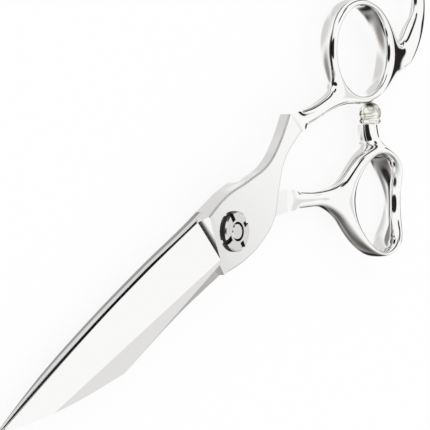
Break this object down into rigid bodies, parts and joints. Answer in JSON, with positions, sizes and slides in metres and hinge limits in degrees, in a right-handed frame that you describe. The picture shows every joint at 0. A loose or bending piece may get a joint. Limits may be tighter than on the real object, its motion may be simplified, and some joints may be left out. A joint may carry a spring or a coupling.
{
  "type": "hair cutting shears",
  "caption": "Hair cutting shears with pointed blades, offset finger and thumb rings, a finger rest, a silicone bumper and a slotted tension nut; the thumb half swings open on the pivot.",
  "frame": {"origin": "on the pivot axis, on the flat rear face of the axle's head", "axes": "+X from the pivot towards the handles, blades towards -X; +Y towards the finger ring; +Z out of the front plate, along the pivot axis"},
  "size_m": [0.1904, 0.0647, 0.0087],
  "materials": {
    "polished_steel": "mirror-polished stainless steel",
    "bright_steel": "bright turned stainless steel",
    "spring_steel": "plain spring steel",
    "bush_bronze": "sintered bronze, hidden in the front plate",
    "white_nylon": "white nylon, hidden between the plates",
    "clear_silicone": "clear, slightly yellow soft silicone"
  },
  "bodies": {
    "finger_side": {"finger_blade": "polished_steel", "finger_handle": "polished_steel", "pivot_bush": "bush_bronze", "disc_spring": "spring_steel"},
    "thumb_side": {"thumb_blade": "polished_steel", "thumb_handle": "polished_steel", "bumper": "clear_silicone", "pivot_axle": "bright_steel", "ride_washer": "white_nylon", "thrust_washer": "spring_steel"},
    "nut": {"tension_nut": "bright_steel"}
  },
  "joints": [
    {"name": "shear_pivot", "type": "hinge", "parent": "finger_side", "child": "thumb_side", "pos_m": [0, 0, 0.0037], "axis": [0, 0, -1], "range_deg": [0, 75]},
    {"name": "tension_adjust", "type": "hinge", "parent": "thumb_side", "child": "nut", "pos_m": [0, 0, 0.0071], "axis": [0, 0, 1], "range_deg": [-45, 45]}
  ]
}
